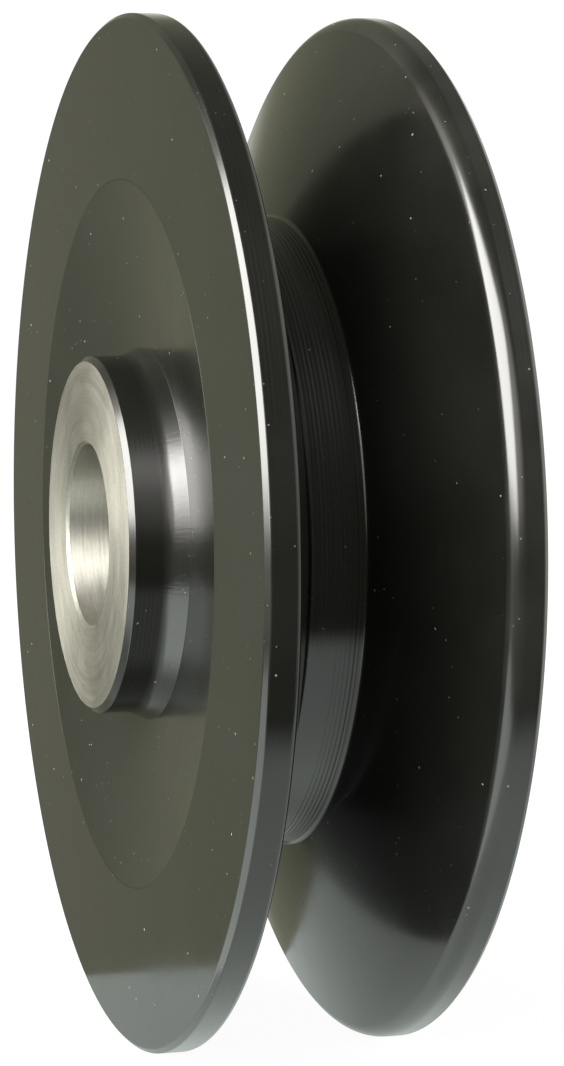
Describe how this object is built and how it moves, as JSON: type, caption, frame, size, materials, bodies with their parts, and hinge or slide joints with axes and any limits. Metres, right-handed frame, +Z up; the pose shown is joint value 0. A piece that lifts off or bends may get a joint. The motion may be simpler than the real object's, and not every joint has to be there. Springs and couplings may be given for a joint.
{
  "type": "belt tensioner idler pulley",
  "caption": "Black-coated V-belt idler pulley that turns on sealed ball bearings round a fixed hub sleeve with a plain bolt bore.",
  "frame": {"origin": "on the spin axis at the middle of the belt groove, inside the hub sleeve's bore", "axes": "+Y along the spin axis from the boss (front) to the bracket side (rear), +Z up, +X to the right seen from the front"},
  "size_m": [0.085, 0.0296, 0.085],
  "materials": {
    "black_coated_steel": "satin black coating over turned steel; the hub sleeve's boss end face and bore are bare ground steel",
    "ground_steel": "bare turned and ground steel",
    "zinc_plated_steel": "thin zinc plating on pressed steel",
    "spring_steel": "dark oiled spring steel",
    "bearing_steel": "ground bearing steel",
    "ball_steel": "polished",
    "cage_polyamide": "moulded glass-filled polyamide",
    "seal_rubber": "moulded nitrile rubber"
  },
  "bodies": {
    "fixed_hub": {"hub_sleeve": "black_coated_steel", "rear_collar": "ground_steel", "front_inner_ring": "bearing_steel", "rear_inner_ring": "bearing_steel"},
    "turning_pulley": {"pulley_body": "black_coated_steel", "front_outer_ring": "bearing_steel", "rear_outer_ring": "bearing_steel", "front_bearing_front_seal": "seal_rubber", "front_bearing_rear_seal": "seal_rubber", "rear_bearing_front_seal": "seal_rubber", "rear_bearing_rear_seal": "seal_rubber", "rear_dust_shield": "zinc_plated_steel", "retaining_ring": "spring_steel"},
    "front_ball_set": {"front_cage": "cage_polyamide", "front_ball_01": "ball_steel", "front_ball_02": "ball_steel", "front_ball_03": "ball_steel", "front_ball_04": "ball_steel", "front_ball_05": "ball_steel", "front_ball_06": "ball_steel", "front_ball_07": "ball_steel", "front_ball_08": "ball_steel", "front_ball_09": "ball_steel", "front_ball_10": "ball_steel", "front_ball_11": "ball_steel"},
    "rear_ball_set": {"rear_cage": "cage_polyamide", "rear_ball_01": "ball_steel", "rear_ball_02": "ball_steel", "rear_ball_03": "ball_steel", "rear_ball_04": "ball_steel", "rear_ball_05": "ball_steel", "rear_ball_06": "ball_steel", "rear_ball_07": "ball_steel", "rear_ball_08": "ball_steel", "rear_ball_09": "ball_steel", "rear_ball_10": "ball_steel", "rear_ball_11": "ball_steel"}
  },
  "joints": [
    {"name": "pulley_spin", "type": "hinge", "parent": "fixed_hub", "child": "turning_pulley", "pos_m": [0, 0, 0], "axis": [0, 1, 0], "continuous": true},
    {"name": "front_ball_orbit", "type": "hinge", "parent": "fixed_hub", "child": "front_ball_set", "pos_m": [0, -0.00185, 0], "axis": [0, 1, 0], "continuous": true},
    {"name": "rear_ball_orbit", "type": "hinge", "parent": "fixed_hub", "child": "rear_ball_set", "pos_m": [0, 0.00715, 0], "axis": [0, 1, 0], "continuous": true}
  ],
  "couplings": [
    {"joint": "front_ball_orbit", "follows": "pulley_spin", "ratio": 0.58354},
    {"joint": "rear_ball_orbit", "follows": "pulley_spin", "ratio": 0.58354}
  ]
}
